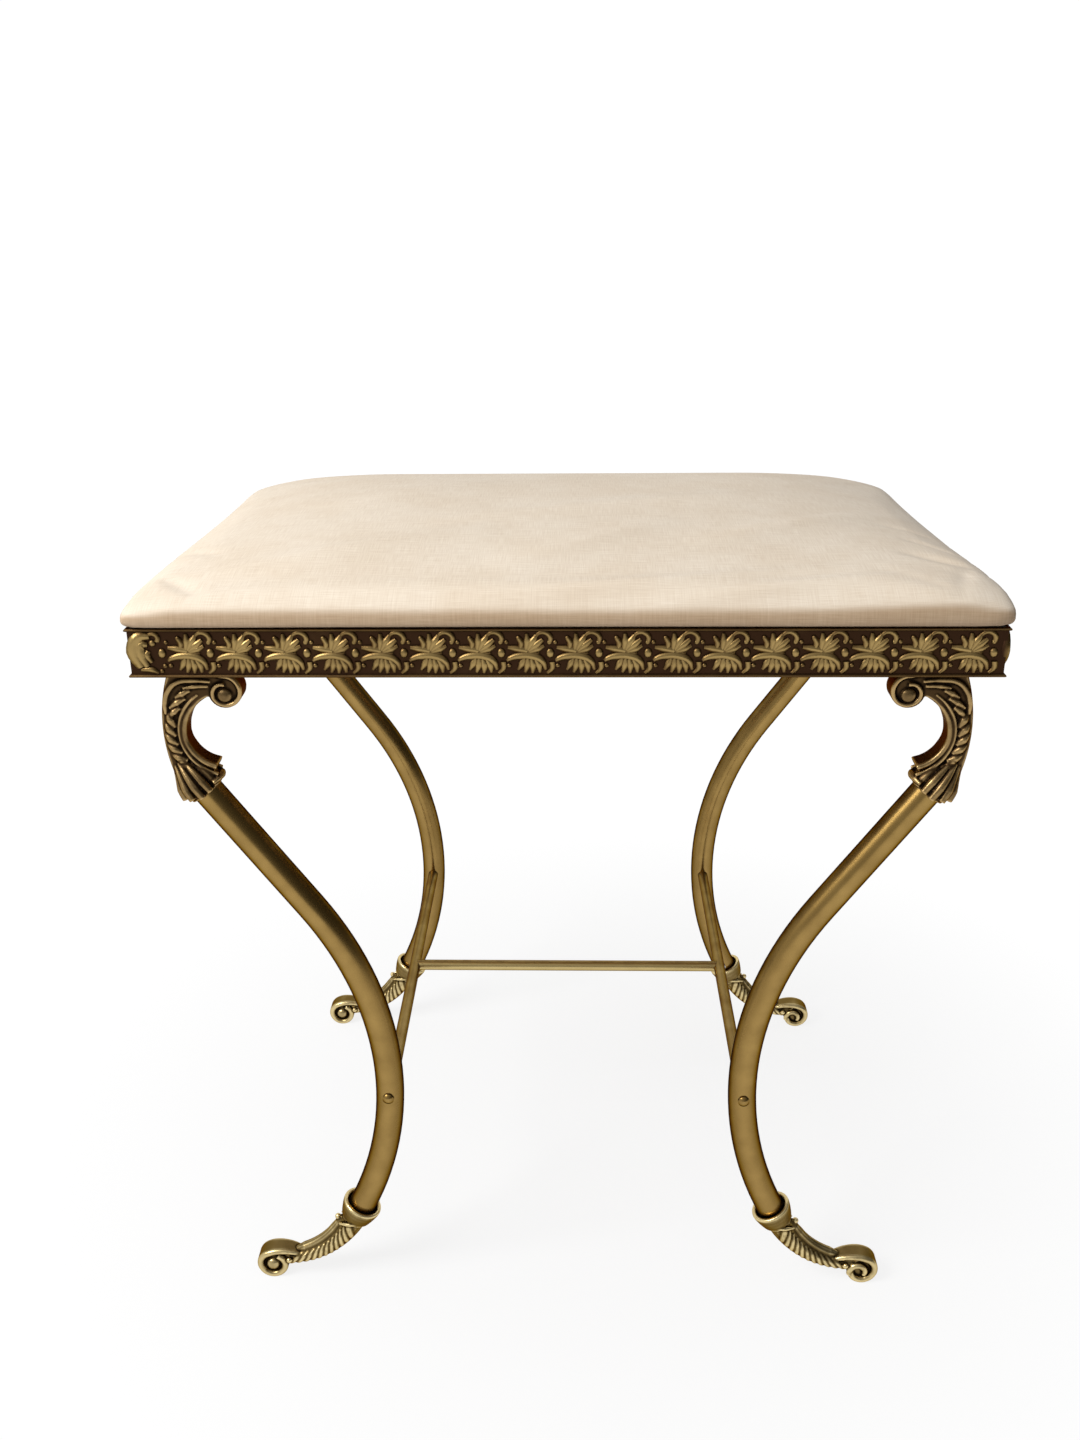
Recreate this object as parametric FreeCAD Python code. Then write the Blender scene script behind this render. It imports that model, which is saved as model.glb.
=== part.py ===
import FreeCAD, Part
import math
import os

# Upholstered stool on bowed brass legs with cast scroll caps and feet.
# Millimetres and degrees. Origin on the floor under the middle of the seat,
# +X to the right, +Y to the rear, +Z up. One leg is made at the front right
# corner and mirrored to the other three.

# Frame
seat_width = 480.0             # over the trim bands, left to right
seat_depth = 330.0             # over the trim bands, front to rear
rim_height = 468.0             # floor to the frame's top edge
band_height = 28.0
band_strip = 1.2               # thickness of the stamped strip between its edges
band_edge_proud = 1.3          # how far the plain edges and the ornament stand out
band_edge_height = 1.4
rail_wall = 3.0
rail_flange = 25.0             # width of the flange that carries the seat

# Ornament of the trim bands
leaf_pitch = 26.5
leaf_length = 15.0
leaf_width = 7.0
leaf_spread = 48.0             # angle between one lobe of a leaf and the next
lobes_per_leaf = 3
bead_diameter = 5.0

# Upholstered seat
board_thickness = 12.0
cover_thickness = 1.2
hem_width = 34.0               # cloth folded under the board
seat_gap = 0.6                 # between the cloth and the rails
cushion_side = 6.5             # rim up to where the cushion is widest
cushion_overhang = 6.0         # cushion past the inside of the rails
cushion_tuck = 1.0             # how much narrower it is where it meets the rim
roll_height = 9.0              # rounded shoulder
roll_width = 13.0
dome_height = 9.5              # rise of the crown from shoulder to middle
side_draw = 1.5                # how far the sides pull in between the corners
seat_corner_radius = 9.0
crown_flat = 30.0              # width of the level patch on top of the crown
corner_softness = 0.95         # how fast the corners round off towards the crown
shoulder_sections = (0, 0.125, 0.333, 1)   # where the shoulder is drawn, as shares of its width
dome_sections = 4              # drawn between the shoulder and the level patch

# Leg tubes
tube_diameter = 18.0
tube_wall = 1.5
leg_inset = 18.0               # front of the frame to the plane of the leg
upper_lean = 35.4              # of the tube under the cap, from the vertical
lower_lean = 26.3              # of the tube above the foot
fit_clearance = 0.1            # round a tube in its socket and a screw in its hole

# Leg caps, measured from the underside of the frame
cap_inset = 10.3               # side of the frame to the cap's outermost point
cap_width = 12.0
cap_edge_round = 3.4           # rounding along the back
cap_back_radius = 100.0
cap_back_drop = 37.0
cap_body = 13.1                # metal between back and throat
cap_throat_radius = 24.2
cap_throat_drop = 38.7
cap_volute_radius = 9.0
cap_volute_drop = 14.0
cap_volute_shift = 0.6         # volute inwards of the throat's centre
cap_lip_reach = 8.5            # lip of the throat outwards of its centre
cap_mouth_inset = 21.1         # outermost point to the middle of the mouth
cap_mouth_drop = 76.5
cap_mouth_radius = 12.6
cap_neck_radius = 11.0
cap_cup_length = 20.0
cap_leaf_setback = 4.0         # mouth to where the scroll's body starts
cap_socket = 12.0              # how deep the tube sits in the cap

# Feet
foot_inset = 41.0              # side of the frame to the centre of the toe scroll
foot_width = 19.0
foot_scroll_radius = 10.3
foot_flat = 0.5                # worn flat that stands on the floor
foot_reach = 63.4              # toe scroll to the middle of the cup's mouth
foot_mouth_height = 59.0
foot_mouth_radius = 13.0
foot_neck_radius = 10.8
foot_cup_length = 14.0
foot_socket = 11.0
foot_lip_depth = 4.0           # the mouth is opened out this deep
foot_lip_gap = 1.1             # and this wide round the tube
shank_start_radius = 9.6
shank_end_radius = 6.0
shank_start_pull = 27.0        # how long the shank follows the tube's line
shank_end_pull = 29.0          # how long it runs level into the scroll
shank_end_rise = 2.8           # shank's end above the centre of the scroll

# Domed eyes of the volutes and toe scrolls
eye_radius = 4.5
eye_proud = 1.5

# Stretchers
stretcher_diameter = 8.0       # of the side rods
cross_diameter = 7.6           # of the rod between them, so that it seats on their round sides
stretcher_height = 151.0
stretcher_screw_diameter = 4.0
stretcher_screw_grip = 12.0    # thread in the end of the rod
screw_dome_radius = 3.6
screw_dome_rim = 0.8
screw_dome_height = 1.8

# Screws and staples
leg_screw_diameter = 5.0
leg_screw_head = 9.2
leg_screw_length = 15.0
leg_screw_spacing = 12.0
leg_screw_setback = 18.0       # cap's outermost point to the nearer screw
set_screw_diameter = 4.0
set_screw_length = 3.0
seat_screw_diameter = 4.0
seat_screw_head = 8.0
seat_screw_head_height = 2.4
seat_screw_length = 13.0
seat_screw_spacing = 180.0     # between the two screws of a long rail
staple_width = 10.0
staple_wire = 0.8
staple_leg = 6.0
staple_pitch = 44.0
staple_setback = 4.0           # from the edge of the flange

# Worked out from the driving dimensions
half_width = seat_width / 2
half_depth = seat_depth / 2
frame_under = rim_height - band_height
flange_top = frame_under + rail_wall
board_under = flange_top + cover_thickness
band_thick = band_strip + band_edge_proud
rail_face = band_thick + rail_wall + seat_gap
flange_edge = band_thick + rail_flange
flange_middle = band_thick + (rail_wall + rail_flange) / 2
tube_radius = tube_diameter / 2
leg_plane = -(half_depth - leg_inset)
cushion_height = cushion_side + roll_height + dome_height


def vec(x, y, z):
    return FreeCAD.Vector(x, y, z)


def on_leg(x, z):
    """A point in the plane of the front right leg."""
    return vec(x, leg_plane, z)


def line(start, end):
    return Part.LineSegment(start, end).toShape()


def arc(start, middle, end):
    return Part.Arc(start, middle, end).toShape()


def cylinder(radius, start, end):
    along = end.sub(start)
    return Part.makeCylinder(radius, along.Length, start, along)


def across(radius, centre, width):
    """A cylinder along Y, centred on a point of the leg's plane."""
    reach = vec(0, width / 2, 0)
    return cylinder(radius, centre.sub(reach), centre.add(reach))


def plan_prism(corners, bottom, top):
    """A prism over a polygon given as x, y corners."""
    points = [vec(x, y, bottom) for x, y in corners]
    face = Part.Face(Part.makePolygon(points + points[:1]))
    return face.extrude(vec(0, 0, top - bottom))


def mitred_bar(width, depth, outer, inner, bottom, top):
    """Front bar of a mitred frame, between two insets from the outside of the frame."""
    x = width / 2
    y = -depth / 2
    corners = [
        (-x + outer, y + outer),
        (x - outer, y + outer),
        (x - inner, y + inner),
        (-x + inner, y + inner),
    ]
    return plan_prism(corners, bottom, top)


def round_rectangle(half_x, half_y, radius, draw, z):
    """Closed plan outline: drawn-in sides as shallow arcs, round corners."""
    near = radius * (1 - math.sqrt(0.5))
    x = half_x - radius
    y = half_y - radius
    edges = []
    for turn in range(4):
        side, other = (half_y, x) if turn % 2 == 0 else (half_x, y)
        across_corner = half_x if turn % 2 == 0 else half_y
        points = [
            vec(-other, -side, z),
            vec(0, draw - side, z),
            vec(other, -side, z),
            vec(across_corner - near, near - side, z),
            vec(across_corner, radius - side, z),
        ]
        for point in points:
            spin = FreeCAD.Rotation(vec(0, 0, 1), 90 * turn)
            point.x, point.y, point.z = tuple(spin.multVec(point))
        straight = draw == 0
        edges.append(line(points[0], points[2]) if straight else arc(*points[:3]))
        edges.append(arc(*points[2:]))
    return Part.Wire(edges)


# Frame

def frame_rail(width, depth):
    """Angle bar for the front of a frame of this size."""
    upright = mitred_bar(width, depth, band_thick, band_thick + rail_wall, frame_under, rim_height)
    flange = mitred_bar(width, depth, band_thick, flange_edge, frame_under, flange_top)
    return upright.fuse(flange).removeSplitter()


def leaf_lobe(angle):
    """One pointed lobe of a leaf, lying in the X-Z plane with its stem at the origin."""
    tip = vec(leaf_length, 0, 0)
    middle = leaf_length / 2
    bulge = leaf_width / 2
    upper = arc(vec(0, 0, 0), vec(middle, 0, bulge), tip)
    lower = arc(tip, vec(middle, 0, -bulge), vec(0, 0, 0))
    lobe = Part.Face(Part.Wire([upper, lower])).extrude(vec(0, -band_edge_proud, 0))
    lobe.rotate(vec(0, 0, 0), vec(0, 1, 0), angle)
    return lobe


def trim_band(width, depth):
    """Stamped band for the front of a frame of this size."""
    strip = mitred_bar(width, depth, band_edge_proud, band_thick, frame_under, rim_height)
    lower = mitred_bar(
        width, depth, 0, band_edge_proud, frame_under, frame_under + band_edge_height
    )
    upper = mitred_bar(width, depth, 0, band_edge_proud, rim_height - band_edge_height, rim_height)
    angles = [leaf_spread * (k - (lobes_per_leaf - 1) / 2) for k in range(lobes_per_leaf)]
    lobes = [leaf_lobe(angle) for angle in angles]
    bead = Part.makeCone(
        bead_diameter / 2,
        bead_diameter / 4,
        band_edge_proud,
        vec(0, 0, 0),
        vec(0, -1, 0),
    )
    bead.translate(vec(-bead_diameter / 2, 0, 0))
    motif = lobes[0].fuse(lobes[1:] + [bead]).removeSplitter()
    count = int(width / leaf_pitch)
    pitch = width / count
    face = band_edge_proud - depth / 2
    middle_height = frame_under + band_height / 2
    motifs = []
    for k in range(count):
        copy = motif.copy()
        left = (k + 0.5) * pitch - width / 2 - (leaf_length - bead_diameter) / 2
        copy.translate(vec(left, face, middle_height))
        motifs.append(copy)
    return strip.fuse([lower, upper] + motifs).removeSplitter()


def frame_screw_places():
    """Where wood screws pass up through the flanges into the board."""
    front = half_depth - flange_middle
    side = half_width - flange_middle
    apart = seat_screw_spacing / 2
    long_rails = [(sx * apart, sy * front) for sx in (-1, 1) for sy in (-1, 1)]
    return long_rails + [(-side, 0), (side, 0)]


def cap_screw_places():
    """Where countersunk screws pass down through the flange into the caps."""
    outer = half_width - cap_inset - leg_screw_setback
    places = []
    for x in (outer, outer - leg_screw_spacing):
        places += [(sx * x, sy * leg_plane) for sx in (-1, 1) for sy in (-1, 1)]
    return places


def leg_screw(x, y, clearance):
    """Countersunk screw with its head level with the top of the flange."""
    radius = leg_screw_diameter / 2 + clearance
    head = leg_screw_head / 2 + clearance
    shank = Part.makeCylinder(
        radius, leg_screw_length + clearance, vec(x, y, flange_top), vec(0, 0, -1)
    )
    cone = Part.makeCone(head, radius, head - radius, vec(x, y, flange_top), vec(0, 0, -1))
    return shank.fuse(cone).removeSplitter()


def seat_screw(x, y, clearance):
    """Pan-headed wood screw under the flange, up into the board."""
    shank = Part.makeCylinder(
        seat_screw_diameter / 2 + clearance,
        seat_screw_length + clearance,
        vec(x, y, frame_under),
        vec(0, 0, 1),
    )
    head = Part.makeCone(
        seat_screw_head / 2,
        seat_screw_head / 4,
        seat_screw_head_height,
        vec(x, y, frame_under),
        vec(0, 0, -1),
    )
    return shank.fuse(head).removeSplitter()


# Upholstery

def crown_rise(inset):
    """Height of the cushion above its widest line, at an inset from its edge."""
    roll = min(inset, roll_width) / roll_width
    shoulder = roll_height * math.sqrt(1 - (1 - roll) ** 2)
    reach = half_depth - crown_flat / 2
    dome = dome_height * (1 - (1 - min(inset, reach) / reach) ** 2)
    return shoulder + dome


def pad_form(skin):
    """The upholstered seat, drawn in all round by the thickness of a skin."""
    skirt_x = half_width - rail_face - skin
    skirt_y = half_depth - rail_face - skin
    bottom = flange_top + skin
    skirt = Part.Face(round_rectangle(skirt_x, skirt_y, seat_corner_radius, 0, bottom))
    skirt = skirt.extrude(vec(0, 0, rim_height + cushion_side - bottom))

    wide_x = skirt_x + cushion_overhang
    wide_y = skirt_y + cushion_overhang
    rise = (cushion_height - cushion_side - skin) / crown_rise(half_depth)
    widest = rim_height + cushion_side
    sections = [
        round_rectangle(
            wide_x - cushion_tuck,
            wide_y - cushion_tuck,
            seat_corner_radius,
            side_draw,
            rim_height + skin,
        )
    ]
    shoulder = [roll_width * share for share in shoulder_sections]
    slope = half_depth - crown_flat / 2 - roll_width
    dome = [roll_width + slope * (k + 1) / dome_sections for k in range(dome_sections)]
    for inset in shoulder + dome:
        x = wide_x - inset
        y = wide_y - inset
        share = corner_softness * math.sqrt(inset / half_depth)
        radius = seat_corner_radius + (y - seat_corner_radius) * share
        draw = side_draw * (1 - inset / half_depth)
        height = widest + rise * crown_rise(inset)
        sections.append(round_rectangle(x, y, radius, draw, height))
    pillow = Part.makeLoft(sections, True, False)
    return skirt.fuse(pillow)


def seat_board():
    inset = rail_face + cover_thickness
    outline = round_rectangle(
        half_width - inset, half_depth - inset, seat_corner_radius, 0, board_under
    )
    return Part.Face(outline).extrude(vec(0, 0, board_thickness))


def hem_opening():
    """Underside of the seat inside the folded hem, where the board shows."""
    inset = rail_face + hem_width
    corners = [
        (sx * (half_width - inset), sy * (half_depth - inset))
        for sx, sy in ((-1, -1), (1, -1), (1, 1), (-1, 1))
    ]
    return plan_prism(corners, flange_top, board_under)


def staple():
    """Staple along X with its back against the hem and its legs up in the board."""
    back = Part.makeBox(
        staple_width,
        staple_wire,
        staple_wire,
        vec(-staple_width / 2, -staple_wire / 2, flange_top - staple_wire),
    )
    legs = []
    for left in (-staple_width / 2, staple_width / 2 - staple_wire):
        corner = vec(left, -staple_wire / 2, flange_top)
        legs.append(Part.makeBox(staple_wire, staple_wire, staple_leg, corner))
    return back.fuse(legs).removeSplitter()


def staples():
    """A row of staples along each side, just inside the flange."""
    x_row = half_width - flange_edge - staple_setback
    y_row = half_depth - flange_edge - staple_setback
    made = []
    for length, row, angle in ((x_row, y_row, 0), (y_row, x_row, 90)):
        one = staple()
        count = int(2 * (length - staple_width) / staple_pitch)
        for k in range(count):
            place = staple_pitch * (k - (count - 1) / 2)
            for side in (-row, row):
                copy = one.copy()
                copy.translate(vec(place, side, 0))
                made.append(turned(copy, angle))
    return made


# Legs

def lean(angle):
    """Unit direction up a tube that leans outwards by an angle."""
    turn = math.radians(angle)
    return vec(math.sin(turn), 0, math.cos(turn))


upper_up = lean(upper_lean)
lower_up = lean(-lower_lean)
cap_back = half_width - cap_inset
cap_mouth = on_leg(cap_back - cap_mouth_inset, frame_under - cap_mouth_drop)
foot_scroll = on_leg(half_width - foot_inset, foot_scroll_radius - foot_flat)
foot_mouth = on_leg(half_width - foot_inset - foot_reach, foot_mouth_height)
tube_top = cap_mouth + upper_up * cap_socket
tube_foot = foot_mouth - lower_up * foot_socket


def elbow():
    """Where the straight lines of the tube's two ends would meet."""
    gap = tube_top - tube_foot
    turn = math.radians(upper_lean + lower_lean)
    along = (gap.x * upper_up.z - gap.z * upper_up.x) / -math.sin(turn)
    return tube_foot + lower_up * along


tube_elbow = elbow()
tangent_length = (tube_elbow - foot_mouth).Length
bow_radius = tangent_length / math.tan(math.radians((upper_lean + lower_lean) / 2))
bow_end = tube_elbow + upper_up * tangent_length
bow_centre = foot_mouth + vec(lower_up.z, 0, -lower_up.x) * bow_radius
waist = bow_centre - vec(bow_radius, 0, 0)


def tube_body(radius):
    """Solid bar along the tube: straight into the foot, bowed, straight into the cap."""
    path = Part.Wire([
        line(tube_foot, foot_mouth),
        arc(foot_mouth, waist, bow_end),
        line(bow_end, tube_top),
    ])
    ring = Part.Wire([Part.makeCircle(radius, tube_foot, lower_up)])
    return path.makePipeShell([ring], True, False)


def stretcher_place():
    """Where the side stretcher meets the leg, on the tube's centre line."""
    drop = stretcher_height - bow_centre.z
    x = bow_centre.x - math.sqrt(bow_radius ** 2 - drop ** 2)
    return on_leg(x, stretcher_height)


stretcher_end = stretcher_place()


def leg_tube():
    whole = tube_body(tube_radius).cut(tube_body(tube_radius - tube_wall))
    hole = across(
        stretcher_screw_diameter / 2 + fit_clearance, stretcher_end, 2 * tube_diameter
    )
    return whole.cut(hole)


def eyes(centre, width):
    """Domed eyes on both faces of a scroll."""
    ball = (eye_radius ** 2 + eye_proud ** 2) / (2 * eye_proud)
    depth = width / 2 + eye_proud - ball
    return [Part.makeSphere(ball, centre + vec(0, side * depth, 0)) for side in (-1, 1)]


def set_screw_hole(mouth, up, socket):
    """Tapped hole from the inner side of a cup to the tube, halfway down the socket."""
    start = mouth + up * (socket / 2)
    radius = set_screw_diameter / 2 + fit_clearance
    return cylinder(radius, start, start + vec(0, 2 * tube_radius, 0))


def set_screw(mouth, up, socket):
    start = mouth + up * (socket / 2) + vec(0, tube_radius, 0)
    return cylinder(set_screw_diameter / 2, start, start + vec(0, set_screw_length, 0))


def is_back_edge(edge):
    """Whether an edge of the cap follows the arc of its back."""
    round_edge = edge.Curve.TypeId == "Part::GeomCircle"
    return round_edge and abs(edge.Curve.Radius - cap_back_radius) < fit_clearance


def cap_scroll():
    """C-shaped body of the cap with its volute, before the cup is added."""
    back_centre = on_leg(cap_back - cap_back_radius, frame_under - cap_back_drop)
    throat = on_leg(cap_back - cap_body - cap_throat_radius, frame_under - cap_throat_drop)
    volute = on_leg(throat.x - cap_volute_shift, frame_under - cap_volute_drop)
    lip = throat.x + cap_lip_reach

    top_outer = back_centre + vec(
        math.sqrt(cap_back_radius ** 2 - cap_back_drop ** 2), 0, cap_back_drop
    )
    spiral_start = volute + vec(cap_volute_drop - cap_volute_radius, 0, cap_volute_drop)
    spiral_centre = spiral_start - vec(0, 0, cap_volute_drop)
    spiral_middle = spiral_centre + lean(-45) * cap_volute_drop
    spiral_end = volute - vec(cap_volute_radius, 0, 0)

    start = cap_mouth + upper_up * cap_leaf_setback
    outwards = vec(upper_up.z, 0, -upper_up.x)
    inner_corner = start + outwards * ((lip - start.x) / outwards.x)
    offset = start - back_centre
    along = offset.dot(outwards)
    reach = math.sqrt(along ** 2 - offset.dot(offset) + cap_back_radius ** 2) - along
    outer_corner = start + outwards * reach

    outline = [
        line(top_outer, spiral_start),
        arc(spiral_start, spiral_middle, spiral_end),
        line(spiral_end, on_leg(throat.x, volute.z)),
        line(on_leg(throat.x, volute.z), on_leg(lip, throat.z)),
        line(on_leg(lip, throat.z), inner_corner),
        line(inner_corner, outer_corner),
        arc(outer_corner, back_centre + vec(cap_back_radius, 0, 0), top_outer),
    ]
    face = Part.Face(Part.Wire(outline))
    face.translate(vec(0, -cap_width / 2, 0))
    body = face.extrude(vec(0, cap_width, 0))
    body = body.cut(across(cap_throat_radius, throat, 2 * cap_width))
    body = body.makeFillet(cap_edge_round, [edge for edge in body.Edges if is_back_edge(edge)])
    roll = across(cap_volute_radius, volute, cap_width)
    return body.fuse([roll] + eyes(volute, cap_width))


def leg_cap():
    cup = Part.makeCone(cap_mouth_radius, cap_neck_radius, cap_cup_length, cap_mouth, upper_up)
    socket = cylinder(tube_radius + fit_clearance, cap_mouth - upper_up, tube_top)
    whole = cap_scroll().fuse(cup).cut([socket, set_screw_hole(cap_mouth, upper_up, cap_socket)])
    return whole.cut(cap_screw_holes).removeSplitter()


def bezier(points, t):
    """Point on a cubic curve through its first and last control points."""
    while len(points) > 1:
        points = [a * (1 - t) + b * t for a, b in zip(points, points[1:])]
    return points[0]


def foot_shank():
    """Tapered bar that curves from the cup down and out into the scroll."""
    start = foot_mouth - lower_up * (foot_cup_length - shank_start_radius / 2)
    end = foot_scroll + vec(0, 0, shank_end_rise)
    handles = [
        start,
        start - lower_up * shank_start_pull,
        end - vec(shank_end_pull, 0, 0),
        end,
    ]
    stations = 7
    step = 0.001
    rings = []
    for k in range(stations):
        t = k / (stations - 1)
        heading = bezier(handles, t + step) - bezier(handles, t - step)
        radius = shank_start_radius + (shank_end_radius - shank_start_radius) * t
        ring = Part.makeCircle(radius, bezier(handles, t), heading)
        rings.append(Part.Wire([ring]))
    return Part.makeLoft(rings, True, False)


def foot():
    cup = Part.makeCone(
        foot_neck_radius,
        foot_mouth_radius,
        foot_cup_length,
        foot_mouth - lower_up * foot_cup_length,
        lower_up,
    )
    roll = across(foot_scroll_radius, foot_scroll, foot_width)
    whole = cup.fuse([foot_shank(), roll] + eyes(foot_scroll, foot_width))
    socket = cylinder(tube_radius + fit_clearance, tube_foot, foot_mouth + lower_up)
    lip = cylinder(
        tube_radius + foot_lip_gap, foot_mouth - lower_up * foot_lip_depth, foot_mouth + lower_up
    )
    floor = Part.makeBox(
        4 * foot_scroll_radius,
        4 * foot_width,
        foot_scroll_radius,
        vec(
            foot_scroll.x - 2 * foot_scroll_radius,
            leg_plane - 2 * foot_width,
            -foot_scroll_radius,
        ),
    )
    hole = set_screw_hole(foot_mouth, lower_up, foot_socket)
    return whole.cut([socket, lip, floor, hole]).removeSplitter()


# Stretchers

def stretcher_screw(clearance):
    """Dome-headed screw through the front right leg into the end of the rod."""
    outwards = vec(0, -1, 0)
    skin = stretcher_end + outwards * tube_radius
    rim = skin + outwards * screw_dome_rim
    head = cylinder(screw_dome_radius, stretcher_end, rim).cut(tube_body(tube_radius))
    ball = (screw_dome_radius ** 2 + screw_dome_height ** 2) / (2 * screw_dome_height)
    ball_centre = rim + outwards * (screw_dome_height - ball)
    dome = Part.makeSphere(ball, ball_centre)
    dome = dome.common(cylinder(screw_dome_radius, rim, rim + outwards * screw_dome_height))
    tip = stretcher_end - outwards * (tube_radius + stretcher_screw_grip + clearance)
    shank = cylinder(stretcher_screw_diameter / 2 + clearance, skin, tip)
    return shank.fuse([head, dome]).removeSplitter()


def side_stretcher():
    """Rod between the right legs, its ends shaped to the tubes."""
    rod = cylinder(
        stretcher_diameter / 2, stretcher_end, vec(stretcher_end.x, -leg_plane, stretcher_height)
    )
    body = tube_body(tube_radius)
    screw = stretcher_screw(fit_clearance)
    cuts = [body, screw, mirrored(body, "y"), mirrored(screw, "y")]
    return rod.cut(cuts)


def cross_stretcher():
    """Rod between the two side stretchers, its ends shaped to them."""
    ends = [vec(side * stretcher_end.x, 0, stretcher_height) for side in (-1, 1)]
    reach = vec(0, stretcher_diameter, 0)
    side_rods = [cylinder(stretcher_diameter / 2, end - reach, end + reach) for end in ends]
    return cylinder(cross_diameter / 2, *ends).cut(side_rods)


# Assembly

def mirrored(shape, axes):
    """A copy mirrored across the middle of the stool along each named axis."""
    for axis in axes:
        normal = vec(1, 0, 0) if axis == "x" else vec(0, 1, 0)
        shape = shape.mirror(vec(0, 0, 0), normal)
    return shape


def turned(shape, angle):
    """A copy turned about the middle of the stool."""
    copy = shape.copy()
    copy.rotate(vec(0, 0, 0), vec(0, 0, 1), angle)
    return copy


def save(name, shapes):
    """Write the solids of one sub-part."""
    solids = [solid for shape in shapes for solid in shape.Solids]
    for solid in solids:
        if not solid.isValid():
            raise ValueError(name + " has a solid that isn't valid")
    whole = solids[0] if len(solids) == 1 else Part.makeCompound(solids)
    whole.exportStep("parts/" + name + ".step")
    print(name, len(solids), round(whole.Volume / 1000, 2), "cm3")


corners = {"front_right": "", "front_left": "x", "rear_right": "y", "rear_left": "xy"}
cap_screw_holes = [leg_screw(x, y, fit_clearance) for x, y in cap_screw_places()]
seat_screw_holes = [seat_screw(x, y, fit_clearance) for x, y in frame_screw_places()]
staple_set = staples()

os.makedirs("parts", exist_ok=True)

for width, depth, sides in (
    (seat_width, seat_depth, {"front": 0, "rear": 180}),
    (seat_depth, seat_width, {"right": 90, "left": 270}),
):
    rail = frame_rail(width, depth)
    band = trim_band(width, depth)
    for side, angle in sides.items():
        drilled = turned(rail, angle).cut(cap_screw_holes + seat_screw_holes)
        save("frame_rail_" + side, [drilled])
        save("trim_band_" + side, [turned(band, angle)])

inner_form = pad_form(cover_thickness)
board = seat_board()
cover = pad_form(0).cut([inner_form, hem_opening()])
save("seat_cover", [cover.cut(staple_set + seat_screw_holes)])
save("seat_foam", [inner_form.cut(board)])
save("seat_board", [board.cut(staple_set + seat_screw_holes)])
save("cover_staples", staple_set)
save("seat_screws", [seat_screw(x, y, 0) for x, y in frame_screw_places()])
save("leg_screws", [leg_screw(x, y, 0) for x, y in cap_screw_places()])

leg_pieces = {"leg_tube_": leg_tube(), "leg_cap_": leg_cap(), "foot_": foot()}
for corner, axes in corners.items():
    for prefix, piece in leg_pieces.items():
        save(prefix + corner, [mirrored(piece, axes)])

grub_screws = [
    set_screw(cap_mouth, upper_up, cap_socket),
    set_screw(foot_mouth, lower_up, foot_socket),
]
save("set_screws", [mirrored(screw, axes) for axes in corners.values() for screw in grub_screws])

rod = side_stretcher()
save("side_stretcher_right", [rod])
save("side_stretcher_left", [mirrored(rod, "x")])
save("cross_stretcher", [cross_stretcher()])
dome_screw = stretcher_screw(0)
save("stretcher_screws", [mirrored(dome_screw, axes) for axes in corners.values()])
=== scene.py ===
# %% [markdown]
# # A padded stool on brass scroll legs
#
# The stool has a cloth seat in a low brass frame, four bowed brass tubes for legs, and cast
# brass ornaments at both ends of each tube. The frame that is loaded first has every piece at
# its real size and place. This lesson dresses it: the castings, the stamped bands and the
# cushion are modelled again in full detail, and the plain pieces get their metal or wood.

# %% Load the frame
import math

import bpy
import numpy as np
from mathutils import Matrix, Vector


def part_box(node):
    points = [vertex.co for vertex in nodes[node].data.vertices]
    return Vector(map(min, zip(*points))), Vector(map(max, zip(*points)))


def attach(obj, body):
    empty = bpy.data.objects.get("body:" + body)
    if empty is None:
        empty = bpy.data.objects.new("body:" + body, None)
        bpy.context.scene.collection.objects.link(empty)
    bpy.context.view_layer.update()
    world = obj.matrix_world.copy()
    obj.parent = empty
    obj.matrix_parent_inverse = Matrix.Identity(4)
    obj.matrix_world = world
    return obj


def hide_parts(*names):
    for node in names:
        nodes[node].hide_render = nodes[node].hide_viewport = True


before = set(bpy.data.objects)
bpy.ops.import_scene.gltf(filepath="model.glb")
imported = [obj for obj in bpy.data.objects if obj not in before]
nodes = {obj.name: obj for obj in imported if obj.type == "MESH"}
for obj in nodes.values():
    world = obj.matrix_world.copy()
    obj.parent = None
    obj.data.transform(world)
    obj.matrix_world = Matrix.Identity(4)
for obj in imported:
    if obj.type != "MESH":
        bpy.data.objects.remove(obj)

for leftover in ("Cube", "Light", "Camera"):
    if leftover in bpy.data.objects:
        bpy.data.objects.remove(bpy.data.objects[leftover])
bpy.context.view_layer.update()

# %% [markdown]
# Sizes are in millimetres where a maker would say them, and `MM` turns them into metres.
# The places come from the frame: the leg plane is the middle of a leg tube, and the castings
# are measured from the corner where the leg meets the underside of the seat frame.

# %% Places taken from the frame
MM = 0.001
sewing_gap = 1e-6
band_low, band_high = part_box("trim_band_front")
cap_low, cap_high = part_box("leg_cap_front_right")
_, foot_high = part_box("foot_front_right")
frame_under = band_low.z
frame_rim = band_high.z
half_width = band_high.x
half_depth = -band_low.y
leg_plane = (cap_low.y + cap_high.y) / 2
print("frame from", frame_under, "to", frame_rim, "leg plane at", leg_plane)


def only(obj):
    """Selects one object and makes it the active one."""
    bpy.ops.object.select_all(action="DESELECT")
    obj.select_set(True)
    bpy.context.view_layer.objects.active = obj
    return obj


def joined(name, pieces):
    """Joins the pieces into one object of that name."""
    only(pieces[0])
    for piece in pieces:
        piece.select_set(True)
    bpy.ops.object.join()
    whole = bpy.context.object
    whole.name = name
    whole.data.name = name
    return whole


def applied(obj, kind, **settings):
    """Adds a modifier with its settings and applies it."""
    only(obj)
    step = obj.modifiers.new(kind.lower(), kind)
    for key, value in settings.items():
        setattr(step, key, value)
    bpy.ops.object.modifier_apply(modifier=step.name)
    return obj


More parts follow.
